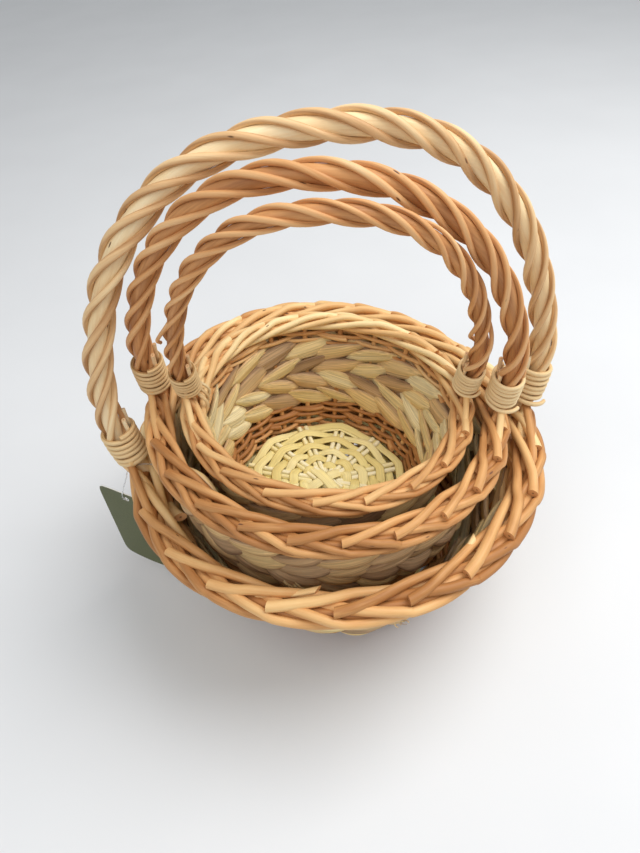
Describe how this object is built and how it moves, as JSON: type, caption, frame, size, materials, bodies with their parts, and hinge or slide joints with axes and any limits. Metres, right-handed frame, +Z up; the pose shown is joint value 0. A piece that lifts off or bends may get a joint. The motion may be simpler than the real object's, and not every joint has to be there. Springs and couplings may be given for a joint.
{
  "type": "willow basket nest",
  "caption": "Nest of round willow baskets of falling size, each with a roped bow handle bound with cane, and a card tag on the outer border.",
  "frame": {"origin": "middle of the large basket's underside, where it stands on the ground", "axes": "+Z up, +Y from the front of the picture to its back, the handles roughly in the XZ plane"},
  "size_m": [0.3618, 0.3158, 0.3838],
  "materials": {
    "buff_willow": "peeled buff willow, satin",
    "brown_willow": "thin reddish-brown willow, satin",
    "pale_willow": "pale buff willow, satin",
    "cane": "pale round cane, satin",
    "dried_leaf": "twisted dried leaf, matt",
    "base_split": "pale split sticks, matt",
    "tag_card": "olive green card, matt, unprinted",
    "tag_nylon": "clear nylon thread"
  },
  "bodies": {
    "large": {"large_base_sticks": "base_split", "large_base_weave": "base_split", "large_stake_frame": "buff_willow", "large_lower_willow_band": "buff_willow", "large_leaf_band": "dried_leaf", "large_upper_willow_band": "buff_willow", "large_handle_bow": "pale_willow", "large_handle_rod_1": "pale_willow", "large_handle_rod_2": "pale_willow", "large_handle_rod_3": "pale_willow", "large_handle_rod_4": "pale_willow", "large_binding_right": "cane", "large_peg_right_back": "pale_willow", "large_peg_right_front": "pale_willow", "large_binding_left": "cane", "large_peg_left_back": "pale_willow", "large_peg_left_front": "pale_willow"},
    "medium": {"medium_base_sticks": "base_split", "medium_base_weave": "base_split", "medium_stake_frame": "buff_willow", "medium_lower_willow_band": "buff_willow", "medium_leaf_band": "dried_leaf", "medium_upper_willow_band": "buff_willow", "medium_handle_bow": "brown_willow", "medium_handle_rod_1": "brown_willow", "medium_handle_rod_2": "brown_willow", "medium_handle_rod_3": "brown_willow", "medium_handle_rod_4": "brown_willow", "medium_binding_right": "cane", "medium_peg_right_back": "brown_willow", "medium_peg_right_front": "brown_willow", "medium_binding_left": "cane", "medium_peg_left_back": "brown_willow", "medium_peg_left_front": "brown_willow"},
    "small": {"small_base_sticks": "base_split", "small_base_weave": "base_split", "small_stake_frame": "buff_willow", "small_lower_willow_band": "buff_willow", "small_leaf_band": "dried_leaf", "small_upper_willow_band": "buff_willow", "small_handle_bow": "brown_willow", "small_handle_rod_1": "brown_willow", "small_handle_rod_2": "brown_willow", "small_handle_rod_3": "brown_willow", "small_handle_rod_4": "brown_willow", "small_binding_right": "cane", "small_peg_right_back": "brown_willow", "small_peg_right_front": "brown_willow", "small_binding_left": "cane", "small_peg_left_back": "brown_willow", "small_peg_left_front": "brown_willow"},
    "tag": {"tag_card": "tag_card", "tag_loop": "tag_nylon"}
  },
  "joints": [
    {"name": "medium_tip_out", "type": "hinge", "parent": "large", "child": "medium", "pos_m": [0, -0.126, 0.146], "axis": [1, 0, 0], "range_deg": [0, 42]},
    {"name": "small_tip_out", "type": "hinge", "parent": "medium", "child": "small", "pos_m": [-0.002, -0.107, 0.179], "axis": [0.9962, 0, -0.0872], "range_deg": [0, 38]},
    {"name": "tag_swing", "type": "hinge", "parent": "large", "child": "tag", "pos_m": [-0.14673, -0.01932, 0.138], "axis": [-0.1305, 0.9914, 0], "range_deg": [0, 60]}
  ]
}
